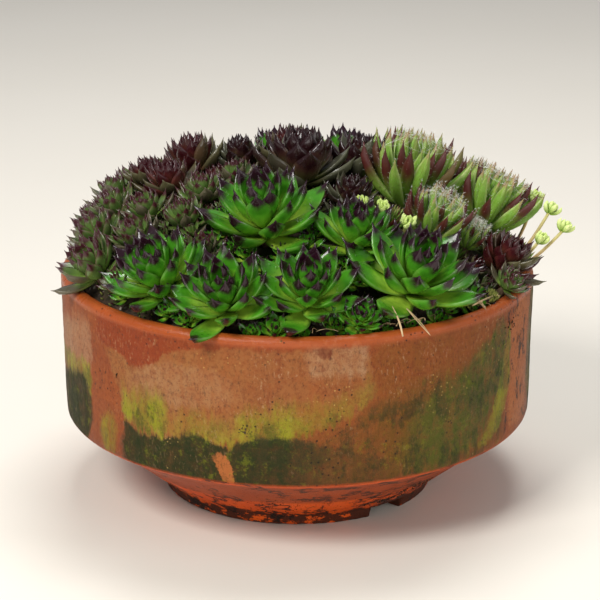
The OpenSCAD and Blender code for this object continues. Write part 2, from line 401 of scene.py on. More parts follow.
# Coats of weather on the outer wall, first to last: colour, softness of the lower and the upper edge
# in mm, how far vertical streaks fray those edges in mm, and stops of (angle from the front in
# degrees and growing to the right, lower edge in mm, upper edge in mm, strength).
COATS = [
    (FILM, 6, 5, 6, [
        (14, 84, 120, 0), (19, 70, 129, 0.75), (32, 70, 130, 0.8), (46, 70, 131, 0.7), (57, 80, 128, 0.5),
        (61, 90, 126, 0)]),
    (FILM, 6, 10, 8, [
        (-155, 48, 80, 0), (-138, 46, 96, 0.7), (-115, 46, 104, 0.75), (-100, 50, 84, 0)]),
    (LIME, 3, 1.6, 3, [
        (-51, 112, 114, 0), (-49, 100, 115, 0.75), (-46.5, 88, 112, 0.85), (-44, 72, 109, 0.9),
        (-41, 68, 106, 0.9), (-37, 66, 107, 0.9), (-34, 66, 112, 0.9), (-32, 66, 118, 0.85),
        (-28, 70, 122, 0.85), (-20, 70, 126, 0.75), (-8, 76, 128, 0.6), (4, 80, 128, 0.6),
        (10, 86, 128, 0.65), (14, 89, 127, 0.7), (17, 98, 118, 0.7), (18.5, 104, 110, 0)]),
    (LIME, 8, 6, 5, [
        (96, 80, 110, 0), (110, 80, 124, 0.75), (140, 78, 127, 0.65), (165, 84, 125, 0.7),
        (180, 86, 123, 0.6)]),
    (LIME, 8, 6, 5, [
        (-180, 86, 123, 0.6), (-150, 80, 126, 0.7), (-122, 84, 124, 0.5), (-102, 90, 112, 0)]),
    (LIME_WHITE, 5, 6, 10, [
        (-98, 92, 104, 0), (-86, 88, 108, 0.4), (-76, 84, 112, 0.6), (-68, 88, 118, 0.6),
        (-60, 92, 124, 0.5), (-57.2, 92, 120, 0.4), (-56.6, 96, 112, 0)]),
    (LIME_WHITE, 4, 3, 6, [
        (-44, 96, 104, 0), (-38, 92, 106, 0.3), (-30, 88, 114, 0.3), (-18, 92, 112, 0.22),
        (-12, 98, 106, 0)]),
    (LIME_WHITE, 4, 2, 6, [
        (1.5, 116, 128, 0), (4, 111, 131, 0.55), (7, 114, 131, 0.35), (11, 110, 130, 0.5),
        (15, 112, 130, 0.55), (16.5, 116, 127, 0)]),
    (ALGAE_BRIGHT, 3, 9, 14, [
        (-46, 86, 94, 0), (-44.5, 72, 88, 0.8), (-40, 70, 90, 0.95), (-36, 68, 92, 0.95),
        (-33, 68, 94, 0.8), (-31, 70, 80, 0.35), (-27, 70, 82, 0.5), (-24, 70, 86, 0.8),
        (-19, 70, 80, 0.6), (-15, 70, 84, 0.55), (-11, 72, 90, 0.8), (-4, 74, 93, 0.85), (2, 76, 93, 0.8),
        (8, 82, 95, 0.65), (13, 88, 100, 0.55), (17, 97, 106, 0.35), (18.5, 102, 107, 0)]),
    (ALGAE_BRIGHT, 4, 8, 12, [
        (108, 66, 82, 0), (124, 66, 90, 0.7), (150, 70, 94, 0.75), (180, 68, 88, 0.5)]),
    (ALGAE_BRIGHT, 4, 8, 12, [
        (-180, 68, 88, 0.5), (-165, 62, 82, 0.6), (-148, 58, 74, 0)]),
    (ALGAE_BRIGHT, 3, 3, 6, [
        (-98, 84, 90, 0), (-86, 80, 94, 0.6), (-72, 80, 93, 0.75), (-62, 84, 97, 0.75),
        (-58, 76, 95, 0.7), (-57, 76, 90, 0)]),
    (ALGAE_BRIGHT, 3, 4, 6, [
        (-55, 54, 62, 0), (-53, 48, 70, 0.5), (-49, 48, 73, 0.55), (-47, 52, 68, 0)]),
    (ALGAE_OLIVE, 4, 7, 8, [
        (-2, 46, 74, 0), (5, 46, 79, 0.75), (12, 46, 84, 0.85), (18, 46, 93, 0.85), (26, 46, 100, 0.9),
        (40, 46, 108, 0.9), (52, 48, 114, 0.8), (58, 50, 108, 0.5), (61.5, 60, 100, 0)]),
    (ALGAE_DARK, 1.5, 1.6, 5, [
        (-46, 47, 64, 0), (-44.8, 47, 72, 0.9), (-42, 46, 69, 0.97), (-37, 46, 67, 0.98),
        (-32, 46, 68, 0.98), (-27, 46, 73, 0.98), (-23, 46, 74, 0.98), (-20, 46, 71, 0.97),
        (-17, 46, 68, 0.92), (-13, 46, 73, 0.97), (-9, 46, 76, 0.95), (-3, 46, 77, 0.93),
        (3, 46, 74, 0.75), (10, 46, 68, 0.5), (20, 46, 62, 0.3), (30, 46, 58, 0)]),
    (ALGAE_DARK, 1.5, 2, 6, [
        (102, 48, 58, 0), (113, 46, 74, 0.95), (135, 46, 68, 0.95), (160, 46, 74, 0.95),
        (180, 46, 70, 0.9)]),
    (ALGAE_DARK, 1.5, 3, 6, [
        (-180, 46, 70, 0.9), (-160, 46, 64, 0.85), (-140, 46, 58, 0.6), (-124, 47, 54, 0)]),
    (ALGAE_DARK, 3, 3, 6, [
        (-100, 48, 62, 0), (-88, 46, 74, 0.9), (-77, 45, 79, 0.97), (-71, 45, 83, 0.97),
        (-66, 46, 87, 0.97), (-61, 47, 86, 0.95), (-58.8, 56, 80, 0.8), (-57.6, 62, 74, 0)]),
    (ALGAE_GREEN, 7, 5, 10, [
        (22, 50, 64, 0), (26, 52, 78, 0.35), (29, 50, 90, 0.75), (35, 48, 97, 0.85), (43, 52, 106, 0.9),
        (50, 62, 115, 0.9), (54, 78, 121, 0.92), (57.5, 90, 124, 0.9), (59.5, 102, 122, 0)]),
    (ALGAE_BRIGHT, 2, 3, 4, [
        (47, 53, 56, 0), (50, 52, 60, 0.6), (54, 55, 72, 0.75), (57, 62, 94, 0.75), (58.6, 70, 114, 0.85),
        (60.6, 74, 120, 0.8), (62, 80, 112, 0)]),
    (SALMON, 3, 3, 4, [
        (60.6, 62, 120, 0), (62.4, 54, 128, 0.85), (68, 52, 130, 0.85), (73, 52, 128, 0.7),
        (76.5, 56, 122, 0)]),
    (ALGAE_GREEN, 6, 4, 8, [
        (73, 84, 118, 0), (76, 66, 131, 0.8), (80, 50, 134, 0.95), (84, 47, 134, 0.95),
        (88, 62, 128, 0.8), (92, 54, 100, 0.7), (97, 50, 78, 0.7), (104, 47, 66, 0)]),
    (ALGAE_OLIVE, 5, 4, 6, [
        (-100, 96, 124, 0), (-92, 84, 132, 0.8), (-84, 96, 133, 0.7), (-79, 114, 130, 0)]),
    (CLAY_WET, 1.2, 5, 1, [
        (-56, 120, 131, 0), (-53, 115, 140, 0.85), (-48, 113, 140, 0.9), (-44, 111, 140, 0.95),
        (-41, 107, 140, 0.97), (-37, 108, 140, 0.97), (-34, 113, 140, 0.95), (-32, 118, 140, 0.9),
        (-28, 122, 140, 0.7), (-20, 126, 140, 0.5), (0, 128, 140, 0.4), (14, 128, 140, 0.3),
        (20, 128, 140, 0)]),
    (SALMON, 1, 1, 2, [
        (-20, 60, 64, 0), (-19.2, 57, 65, 0.95), (-17.6, 52, 64, 0.97), (-16, 47, 60, 0.97),
        (-14.8, 46, 54, 0.95), (-14.2, 47, 51, 0)]),
    (CLAY_DARK, 1, 1, 1, [
        (4.0, 125, 127, 0), (5.2, 123.5, 128.5, 0.95), (7.4, 123.5, 128.5, 0.95), (8.6, 125, 127, 0)]),
]


def lay_coats(n, colour, u, z, streaks, drips, breakup, outside):
    """Every coat in COATS, on the outer wall. Returns the colour and how thick the growth is."""
    texture = n.add(n.mul(breakup, 0.5), n.add(n.mul(drips, 0.3), n.mul(streaks, 0.2)))
    texture = n.step(texture, 0.40, 0.56)
    cover = 0.0
    for shade, soft_low, soft_high, fray, stops in COATS:
        low, high, strength = n.curves(u, stops)
        level = n.add(z, n.mul(n.sub(streaks, 0.5), 2.0 * fray))
        mask = n.mul(n.step(n.sub(level, low), -soft_low, soft_low),
                     n.step(n.sub(high, level), -soft_high, soft_high))
        growth = shade in (ALGAE_DARK, ALGAE_GREEN, ALGAE_BRIGHT, ALGAE_OLIVE)
        solid = 0.86 if shade == ALGAE_DARK else 1.0 if shade in (CLAY_WET, SALMON) else 0.5
        mask = n.mul(n.mul(mask, n.add(solid, n.mul(texture, 1.0 - solid))), n.mul(outside, strength))
        if shade == ALGAE_BRIGHT:
            shade = n.mix(n.step(drips, 0.38, 0.62), n.mix(0.35, shade, ALGAE_OLIVE), shade)
        colour = n.mix(mask, colour, shade)
        if growth:
            cover = n.most(mask, cover)
    return colour, cover


def lay_dust(n, colour, cover, streaks, fine, grit, outside):
    """Darker and brighter tufts in the growth, and pits, dust and lime flecks on the bare clay."""
    tufts = n.mul(cover, n.step(n.noise(130, 5, seed=31, rough=0.75), 0.53, 0.66))
    colour = n.mix(n.mul(tufts, 0.3), colour, ALGAE_BRIGHT)
    tufts = n.mul(cover, n.step(n.noise(75, 6, stretch=(1, 1, 0.6), seed=37, rough=0.75), 0.48, 0.58))
    colour = n.mix(n.mul(tufts, 0.72), colour, ALGAE_DARK)
    bare = n.invert(n.mul(cover, 0.92))
    colour = n.mix(n.mul(n.mul(n.step(fine, 0.5, 0.62), 0.45), bare), colour, CLAY_DARK)
    pits = n.step(n.noise(150, 6, seed=73, rough=0.8), 0.52, 0.64)
    colour = n.mix(n.mul(n.mul(pits, 0.4), bare), colour, CLAY_DARK)
    bare = n.mul(outside, bare)
    dust = n.mul(n.step(n.add(fine, n.mul(n.sub(streaks, 0.5), 0.35)), 0.46, 0.36), bare)
    colour = n.mix(n.mul(dust, 0.3), colour, LIME)
    colour = n.mix(n.mul(n.step(grit, 0.54, 0.68), n.mul(outside, 0.45)), colour, SOIL)
    clumps = n.step(n.noise(30, 5, seed=83, rough=0.65), 0.48, 0.60)
    flecks = n.mul(n.step(grit, 0.44, 0.34), n.mul(clumps, n.most(bare, n.mul(outside, 0.35))))
    colour = n.mix(n.mul(flecks, 0.55), colour, LIME_WHITE)
    return colour


def lay_soil(n, colour, u, z, radius, mottle, breakup, outside):
    """Raw clay below the shoulder with soil in its cracks, and specks and splashes of soil.

    Returns the colour and where the soil is.
    """
    wall = n.vector(n.mul(u, 0.0024), n.mul(z, 0.001), 0.0)
    above_belly = n.add(n.sub(z, n.mul(radius, 0.745)), 54.1)     # mm over the outer face, about
    under = n.mul(n.mul(n.step(z, 49.0, 45.5), n.step(radius, 69.0, 71.0)), n.step(above_belly, 6.0, 4.0))
    colour = n.mix(n.mul(under, 0.93), colour, n.mix(n.step(mottle, 0.3, 0.7), RAW_CLAY, RAW_CLAY_DARK))
    along = n.noise(42, 6, stretch=(0.45, 1.5, 1), seed=61, rough=0.62, place=wall)
    cracks = n.step(n.math("ABSOLUTE", n.sub(along, 0.5)), 0.026, 0.012)
    cracks = n.mul(cracks, n.step(n.noise(40, 4, seed=41, place=wall), 0.46, 0.52))
    nicks = n.step(n.cells(120, place=n.vector(n.mul(u, 0.0011), n.mul(z, 0.0024), mottle)), 0.2, 0.12)
    cracks = n.mul(n.most(cracks, n.mul(nicks, n.step(breakup, 0.42, 0.5))), under)
    colour = n.mix(n.mul(cracks, 0.96), colour, SOIL)
    # Soil smears thicken towards the foot. Part of this darkening of the underside and foot ring near the
    # floor is painted shade.
    low_dirt_and_shade = n.add(n.mul(n.step(z, 32.0, 8.0), 0.045), n.mul(n.step(z, 10.0, 6.5), 0.12))
    low_dirt_and_shade = n.add(low_dirt_and_shade, n.mul(n.mul(n.step(u, 14.0, 30.0), n.step(u, 62.0, 46.0)), 0.06))
    smears = n.noise(110, 6, stretch=(0.5, 1.5, 1), seed=43, rough=0.72, place=wall)
    dirt = n.mul(n.step(n.add(smears, low_dirt_and_shade), 0.605, 0.635), under)
    colour = n.mix(n.mul(dirt, 0.92), colour, SOIL)
    busy = n.add(0.5, n.mul(n.step(u, 56.0, 62.0), -0.08))
    specks = n.mul(n.step(n.cells(280), 0.2, 0.1), n.step(n.noise(40, 3, seed=47), busy, n.add(busy, 0.09)))
    splashes = n.mul(n.step(n.noise(105, 6, stretch=(1, 1, 0.55), seed=49, rough=0.72), 0.565, 0.60),
                     n.mul(n.step(u, 56.0, 61.0), outside))
    specks = n.most(specks, splashes)
    colour = n.mix(n.mul(specks, 0.85), colour, SOIL)
    crumbs = n.mul(n.step(n.cells(330), 0.2, 0.1), n.step(n.noise(26, 4, seed=67, rough=0.6), 0.56, 0.66))
    colour = n.mix(n.mul(n.mul(crumbs, outside), 0.5), colour, DRY_CRUMB)
    return colour, n.most(cracks, specks)


def clay_material():
    """Unglazed clay with its weather: lime bloom, algae in a low band, wet runs and specks."""
    n = Nodes("weathered_terracotta")
    x, y, z = n.axes()
    z = n.mul(z, 1000.0)
    u = n.math("DEGREES", n.math("ARCTAN2", x, n.mul(y, -1.0)))
    radius = n.mul(n.math("SQRT", n.add(n.mul(x, x), n.mul(y, y))), 1000.0)
    outside = n.mul(n.step(radius, 134.5, 137.0), n.step(z, 43.0, 47.0))

    mottle = n.noise(26, 5, seed=1)
    patch = n.noise(9, 4, seed=5)
    streaks = n.noise(230, 4, stretch=(1, 1, 0.09), seed=8, rough=0.6)
    breakup = n.noise(170, 6, seed=23, rough=0.75)
    fine = n.noise(420, 6, seed=29, rough=0.8)
    drips = n.noise(75, 5, stretch=(1, 1, 0.13), seed=14, rough=0.6)
    u_warped = n.add(u, n.mul(n.sub(n.noise(75, 6, seed=11, rough=0.7), 0.5), 6.0))
    z_warped = n.add(z, n.mul(n.sub(n.noise(80, 6, seed=17, rough=0.7), 0.5), 11.0))
    grit = n.noise(700, 4, stretch=(1, 1, 0.45), seed=79, rough=0.7)

    colour = n.mix(n.step(mottle, 0.3, 0.75), CLAY, CLAY_LIGHT)
    colour = n.mix(n.mul(n.step(patch, 0.48, 0.72), 0.4), colour, CLAY_DARK)
    colour = n.mix(n.mul(n.step(streaks, 0.52, 0.75), n.mul(outside, 0.35)), colour, CLAY_DARK)
    colour, cover = lay_coats(n, colour, u_warped, z_warped, streaks, drips, breakup, outside)
    colour = lay_dust(n, colour, cover, streaks, fine, grit, outside)

    # the rim is rubbed clean, and the inside stays damp
    rim = n.mul(n.step(z, 127.5, 131.0), n.step(radius, 129.0, 131.0))
    colour = n.mix(n.mul(rim, n.add(0.45, n.mul(breakup, 0.4))), colour, RUBBED_CLAY)
    colour, soil = lay_soil(n, colour, u, z, radius, mottle, breakup, outside)
    inside = n.mul(n.step(radius, 133.5, 131.5), n.step(z, 20.0, 24.0))
    damp = n.mul(inside, n.step(z_warped, 128.0, 118.0))
    colour = n.mix(n.mul(damp, 0.6), colour, DAMP_CLAY)

    roughness = n.add(0.5, n.mul(mottle, 0.2))
    wet = n.mul(n.step(patch, 0.5, 0.7), 0.12)
    roughness = n.sub(roughness, n.add(wet, n.mul(rim, 0.32)))
    roughness = n.most(roughness, n.mul(cover, 0.8))
    rings = n.noise(1, 2, stretch=(2, 2, 420), seed=53)
    normal = n.bump([
        (rings, 0.0004, 0.35),
        (mottle, 0.0012, 0.3),
        (fine, 0.0004, 0.6),
        (grit, 0.0005, 0.5),
        (n.mul(breakup, cover), 0.0016, 0.7),
        (n.invert(soil), 0.0007, 0.8),
    ])
    return n.finish(colour, roughness, normal, Specular_IOR_Level=0.24)


def shard_material():
    n = Nodes("broken_clay")
    mottle = n.noise(70, 5, seed=2)
    colour = n.mix(n.step(mottle, 0.35, 0.7), (0.36, 0.12, 0.055), (0.5, 0.22, 0.12))
    dirt = n.step(n.noise(40, 5, seed=4, rough=0.7), 0.52, 0.64)
    colour = n.mix(n.mul(dirt, 0.7), colour, (0.07, 0.04, 0.025))
    normal = n.bump([(mottle, 0.0008, 0.5), (n.noise(1100, 4), 0.0002, 0.6)])
    return n.finish(colour, n.add(0.7, n.mul(mottle, 0.25)), normal, Specular_IOR_Level=0.3)


def pot_section():
    """The clay's section as (radius, height) points in metres, from the pot's CAD box."""
    low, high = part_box("pot")
    rim_r, top = (high[0] - low[0]) / 2, high[2]
    flare, shoulder_z = 1.7 * MM, 47.5 * MM
    foot_r, foot_h, floor_z, hole_r = 80 * MM, 7 * MM, 16 * MM, 12 * MM

    def line(a, b, step):
        count = max(1, round(math.dist(a, b) / step))
        return [(a[0] + (b[0] - a[0]) * k / count, a[1] + (b[1] - a[1]) * k / count) for k in range(count)]

    def bend(a, corner, b, reach, count=7):
        """A smooth turn at a corner, reaching that far along each side."""
        def along(p):
            d = math.dist(corner, p)
            return [corner[i] + (p[i] - corner[i]) * reach / d for i in (0, 1)]
        p, q = along(a), along(b)
        return [tuple((1 - t) ** 2 * p[i] + 2 * t * (1 - t) * corner[i] + t * t * q[i] for i in (0, 1))
                for t in [k / count for k in range(count + 1)]]

    ring_in, ring_out, flare_top = (foot_r - 10 * MM, 0), (foot_r, 0), (foot_r + 2 * MM, foot_h)
    belly, shoulder = (rim_r - 22 * MM, 35.3 * MM), (rim_r - flare, shoulder_z)
    rim_out, rim_in = (rim_r, top), (rim_r - 8 * MM, top)
    inner_corner, inner_belly = (rim_r - 10 * MM, 52.5 * MM), (rim_r - 27.5 * MM, 42.4 * MM)
    floor_edge, hole_top, hole_low = (foot_r - 1.5 * MM, floor_z), (hole_r, floor_z), (hole_r, foot_h)
    recess = (foot_r - 10 * MM, foot_h)
    corners = [
        (ring_in, 0.8), (ring_out, 1.2), (flare_top, 1.2), (belly, 13), (shoulder, 3.4),
        (rim_out, 4.4), (rim_in, 3.3), (inner_corner, 6), (inner_belly, 4), (floor_edge, 4),
        (hole_top, 1), (hole_low, 1), (recess, 1.2),
    ]
    points = []
    for k, (corner, reach) in enumerate(corners):
        before, after = corners[k - 1][0], corners[(k + 1) % len(corners)][0]
        turn = bend(before, corner, after, reach * MM)
        if points:
            points += line(points[-1], turn[0], 2.4 * MM)[1:]
        points += turn
    points += line(points[-1], points[0], 2.4 * MM)[1:]
    return points


def make_pot(material):
    """The thrown pan: a revolved section, slightly out of true, with notches cut in its foot ring."""
    columns, notch_half, notch_top = 372, 11 * MM, 6.4 * MM
    ring_from, ring_to, wall_from, foot_top = 69 * MM, 83 * MM, 84 * MM, 7.5 * MM
    notches = [math.radians(a) for a in (-50, 130)]
    section = pot_section()
    edge = math.asin(notch_half / (75 * MM))
    turns = [2 * math.pi * k / columns for k in range(columns)]
    for notch in notches:
        for side in (-1, 1):
            wall = (notch + side * edge) % (2 * math.pi)
            nearest = min(range(columns), key=lambda k: abs(turns[k] - wall))
            turns[nearest] = wall
            turns[(nearest + side) % columns] = (wall + side * 0.004) % (2 * math.pi)
    verts = []
    for turn in turns:
        gap = min(abs((turn - n + math.pi) % (2 * math.pi) - math.pi) for n in notches)
        in_notch = gap < edge + 1e-6
        for r, z in section:
            spot = Vector((math.cos(turn) * r, math.sin(turn) * r, z))
            if in_notch and z < notch_top and ring_from < r < ring_to:
                spot.z = notch_top
            if r > wall_from:
                ringing = noise(Vector((math.cos(turn) * 0.6, math.sin(turn) * 0.6, z * 330))) * 0.12
                dents = noise(spot * 38) * 0.3 + noise(spot * 120) * 0.12
                spot += Vector((spot.x, spot.y, 0)).normalized() * (ringing + dents - 0.2) * MM
            elif z < foot_top:
                spot.z += abs(noise(spot * 160)) * 0.5 * MM
            verts.append(spot)
    rows = len(section)
    faces = [(c * rows + r, ((c + 1) % columns) * rows + r,
              ((c + 1) % columns) * rows + (r + 1) % rows, c * rows + (r + 1) % rows)
             for c in range(columns) for r in range(rows)]
    pot = make_object("clay_pot", verts, faces, material)
    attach(pot, "pot")
    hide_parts("pot")


def make_crumbs(material):
    """Soil splashed on the wall and caked round the notch in the foot."""
    soup, dice = Soup(), random.Random(12)
    # the outer face from the foot to the rim, as (radius, height) in mm
    section = [(80, 0), (82, 7), (91, 14.1), (100, 21.2), (108, 27.5), (115, 33.6), (126, 40.2),
               (137.6, 47.5), (139, 88), (140, 128)]

    def outer(z):
        return float(np.interp(z, [p[1] for p in section], [p[0] for p in section]))

    # degrees from the front, height in mm, spread in degrees and in mm, and how many crumbs
    clumps = [(-12.4, 79.5, 1.5, 2.4, 26), (-47, 98.5, 0.25, 1.8, 9), (-17.2, 60, 1.4, 0.8, 7),
              (34, 14, 8, 5, 90), (44, 23, 6, 4, 60), (61, 118, 2.5, 6, 22), (20, 90, 30, 24, 26),
              (-24, 62, 16, 8, 12), (0, 20, 26, 7, 60)]
    for angle, height, wide, tall, count in clumps:
        for _ in range(count):
            z = dice.gauss(height, tall * 0.5)
            if not 8.5 < z < 131:
                continue
            turn = math.radians(angle + dice.gauss(0, wide * 0.5))
            size = dice.uniform(0.25, 1.0 if count > 20 and wide < 9 else 0.6) * MM
            r = (outer(z) - 0.15) * MM
            centre = np.array([math.sin(turn) * r, -math.cos(turn) * r, z * MM])
            path = [centre + np.array([dice.uniform(-1, 1) for _ in range(3)]) * size * (t - 0.5)
                    for t in (0, 0.5, 1)]
            verts, faces = tube(path, [size * 0.3, size * 0.75, size * 0.3], 6)
            soup.add(verts, faces, [(dice.random(), 0, 0, 1)] * len(verts))
    piece = soup.build("soil_crumbs", material)
    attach(piece, "pot")


# ---------------------------------------------------------------- crocks, grit and root ball

def make_crocks(material):
    for node, name in (("crock_over_drain", "curved_crock"), ("crock_side", "flat_crock")):
        crock = remeshed_copy(node, name, material, 0.9 * MM, 0.7 * MM, 7 * MM)
        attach(crock, "pot")
        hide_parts(node)


def grit_material():
    n = Nodes("damp_grit")
    tone, hue, _, _ = n.attribute("leaf")
    colour = n.mix(tone, (0.16, 0.14, 0.12), (0.5, 0.47, 0.42))
    colour = n.mix(n.mul(hue, 0.6), colour, (0.34, 0.2, 0.11))
    fleck = n.noise(700, 4)
    colour = n.mix(n.mul(n.step(fleck, 0.5, 0.7), 0.4), colour, (0.08, 0.07, 0.06))
    return n.finish(colour, n.add(0.45, n.mul(tone, 0.3)), n.bump([(fleck, 0.0003, 0.6)]))


def make_grit(material):
    """Two courses of rounded pebbles filling the CAD layer, with room left for the crocks."""
    low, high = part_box("grit_layer")
    ring_out = (high[0] - low[0]) / 2
    shard_low, shard_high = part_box("crock_side")
    shard = ((shard_low[0] + shard_high[0]) / 2, (shard_low[1] + shard_high[1]) / 2)
    template = bmesh.new()
    bmesh.ops.create_icosphere(template, subdivisions=2, radius=1)
    ball = np.array([v.co for v in template.verts])
    ball_faces = [tuple(v.index for v in f.verts) for f in template.faces]
    template.free()
    stones, pitch = Soup(), 7.4 * MM
    for course, (z, reach) in enumerate(((low[2] + 3.6 * MM, ring_out - 17 * MM),
                                         (high[2] - 3.7 * MM, ring_out - 6.5 * MM))):
        count = int(reach / pitch) + 2
        for i in range(-count, count + 1):
            for j in range(-count, count + 1):
                x = (i + 0.5 * (j % 2) + 0.25 * course) * pitch + rng.uniform(-0.8, 0.8) * MM
                y = j * pitch * 0.87 + rng.uniform(-0.8, 0.8) * MM
                if not 39.5 * MM < math.hypot(x, y) < reach or math.dist((x, y), shard) < 19 * MM:
                    continue
                size = np.array([rng.uniform(3.0, 4.2), rng.uniform(3.0, 4.2), rng.uniform(2.6, 3.5)]) * MM
                lumps = np.array([1 + 0.22 * noise(Vector(p) * 1.3 + Vector((i, j, course))) for p in ball])
                turn = Matrix.Rotation(rng.uniform(0, 6.3), 3, "Z")
                points = (ball * lumps[:, None] * size) @ np.array(turn) + (x, y, z)
                points[:, 2] = np.clip(points[:, 2], low[2], high[2] - 0.05 * MM)
                shade = (rng.random(), rng.random() ** 3, 0, 1)
                stones.add(points, ball_faces, [shade] * len(points))
    grit = stones.build("grit_pebbles", material)
    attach(grit, "pot")
    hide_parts("grit_layer")


def compost_material():
    n = Nodes("rooted_compost")
    crumbs = n.noise(330, 6, seed=1, rough=0.7)
    lumps = n.noise(60, 5, seed=2)
    colour = n.mix(n.step(crumbs, 0.35, 0.7), (0.012, 0.008, 0.005), (0.075, 0.045, 0.026))
    colour = n.mix(n.mul(n.step(lumps, 0.5, 0.7), 0.5), colour, (0.1, 0.06, 0.035))
    grit = n.step(n.cells(170), 0.2, 0.12)
    colour = n.mix(n.mul(n.mul(grit, n.step(lumps, 0.45, 0.6)), 0.8), colour, (0.4, 0.36, 0.3))
    _, _, z = n.axes()
    green = n.mul(n.step(z, 0.131, 0.137), n.step(n.noise(45, 5, seed=6, rough=0.7), 0.45, 0.6))
    colour = n.mix(n.mul(green, 0.8), colour, (0.035, 0.055, 0.008))
    normal = n.bump([(lumps, 0.002, 0.6), (crumbs, 0.0012, 0.9)])
    return n.finish(colour, 0.88, normal, Specular_IOR_Level=0.25)


def root_material():
    n = Nodes("pale_roots")
    tone, _, _, _ = n.attribute("leaf")
    colour = n.mix(tone, (0.2, 0.13, 0.07), (0.62, 0.5, 0.34))
    return n.finish(colour, 0.7, n.bump([(n.noise(900, 3), 0.0002, 0.5)]))


def make_root_ball(compost, roots):
    """The compost, and the fine roots that wind round its sides and underside."""
    ball = remeshed_copy("root_ball", "compost_ball", compost, 2.0 * MM, 1.1 * MM, 5 * MM)
    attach(ball, "planting")
    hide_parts("root_ball")
    tree = BVHTree.FromObject(ball, bpy.context.evaluated_depsgraph_get())
    strands = Soup()
    for _ in range(190):
        turn, z = rng.uniform(0, 2 * math.pi), rng.uniform(34, 120) * MM
        lean, swing = rng.uniform(-1.1, 1.1), rng.uniform(1.5, 4)
        path = []
        for step in range(34):
            turn += rng.uniform(0.5, 1.0) * math.cos(lean) * 0.028
            z += math.sin(lean + 0.8 * math.sin(step / swing)) * 2.6 * MM
            z = min(max(z, 33 * MM), 121 * MM)
            out = Vector((math.cos(turn), math.sin(turn), 0))
            hit = tree.ray_cast(out * 0.2 + Vector((0, 0, z)), -out)[0]
            if hit:
                path.append(hit + out * 0.12 * MM)
        thick = rng.uniform(0.22, 0.5) * MM
        verts, faces = tube(path, [thick * (1 - 0.6 * i / len(path)) for i in range(len(path))], 5)
        strands.add(verts, faces, [(rng.random(), 0, 0, 1)] * len(verts))
    web = strands.build("root_web", roots)
    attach(web, "planting")
    return tree


# ---------------------------------------------------------------- leaves

# Per kind: how many leaves; width and thickness as shares of the radius; angles of the outer and the
# inner leaves at base and tip, in degrees; where a leaf is broadest and the length of its tip, as shares
# of its length; size against the CAD radius; inner leaves' length and height, as shares of the radius;
# and how far a leaf strays, in degrees.
KINDS = {
    "leaf_green": dict(
        count=31, width=0.45, thick=0.12, outer=(6, 34), inner=(72, 94), broad=0.60, point=0.10,
        size=1.36, heart=0.58, lift=0.36, stray=5),
    "leaf_purple_green": dict(
        count=27, width=0.45, thick=0.12, outer=(10, 46), inner=(72, 92), broad=0.60, point=0.10,
        size=1.36, heart=0.58, lift=0.30, stray=11),
    "leaf_burgundy": dict(
        count=36, width=0.43, thick=0.10, outer=(14, 48), inner=(72, 94), broad=0.60, point=0.10,
        size=1.34, heart=0.58, lift=0.34, stray=8),
    "leaf_maroon": dict(
        count=31, width=0.52, thick=0.11, outer=(14, 46), inner=(70, 96), broad=0.60, point=0.09,
        size=1.30, heart=0.60, lift=0.32, stray=9),
    "bud": dict(
        count=24, width=0.5, thick=0.26, outer=(28, 74), inner=(70, 100), broad=0.6, point=0.05,
        size=1.5, heart=0.6, lift=0.3, stray=8),
    "leaf_cobweb": dict(
        count=54, width=0.19, thick=0.10, outer=(30, 68), inner=(78, 92), broad=0.60, point=0.07,
        size=1.44, heart=0.66, lift=0.26, stray=7),
}
CORE_HEIGHT = 0.42                  # of a CAD rosette's core over its crown, as a share of its radius


def leaf_surface(length, width, thick, path_angles, broad, point, stations, across):
    """One leaf from its base at the origin, out along +X and curving up, as (verts, faces, colours)."""
    s = np.concatenate([np.linspace(0, 1, stations) ** 0.9, [1 + point]])
    angle = np.radians(path_angles[0] + (path_angles[1] - path_angles[0]) * np.clip(s, 0, 1) ** 1.3)
    ds = np.diff(s, prepend=0) * length
    along = np.stack([np.cumsum(ds * np.cos(angle)), np.cumsum(ds * np.sin(angle))], axis=1)
    rise = np.clip(s / broad, 0, 1)
    fall = np.clip((s - broad) / (1.0 - broad), 0, 1)
    half = width / 2 * np.where(s < broad, 0.5 + 0.5 * np.sin(rise * math.pi / 2), 1 - 0.94 * fall ** 2.1)
    half[-1] = 0.02 * half.max()
    half[-2] = 0.14 * half.max()
    depth = thick * (0.55 + 0.45 * np.sin(np.clip(s, 0, 1) * math.pi * 0.9))
    depth = depth * np.clip(half / (0.35 * half.max()), 0.06, 1)
    top = np.linspace(-1, 1, across + 1)
    low = np.linspace(1, -1, across + 1)[1:-1]
    v = np.concatenate([top, low])
    face_up = np.concatenate([np.ones(len(top)), np.zeros(len(low))])
    crown = np.where(face_up > 0, 0.34 * (1 - v ** 2) - 0.12, -0.12 - 0.9 * (1 - np.abs(v) ** 1.7))
    ring = len(v)
    lift = depth[:, None] * crown[None, :] + half[:, None] * 0.16 * (v ** 2)[None, :]
    verts = np.empty((len(s), ring, 3))
    verts[..., 0] = along[:, :1] - np.sin(angle)[:, None] * lift
    verts[..., 1] = half[:, None] * v[None, :]
    verts[..., 2] = along[:, 1:] + np.cos(angle)[:, None] * lift
    colours = np.ones((len(s), ring, 4))
    colours[..., 0] = np.clip(s, 0, 1)[:, None]
    colours[..., 1] = np.abs(v)[None, :]
    colours[..., 3] = face_up[None, :]
    rows = len(s)
    faces = [(r * ring + k, r * ring + (k + 1) % ring, (r + 1) * ring + (k + 1) % ring, (r + 1) * ring + k)
             for r in range(rows - 1) for k in range(ring)]
    faces.append(tuple((rows - 1) * ring + k for k in range(ring)))
    faces.append(tuple(range(ring))[::-1])
    return verts.reshape(-1, 3), faces, colours.reshape(-1, 4)


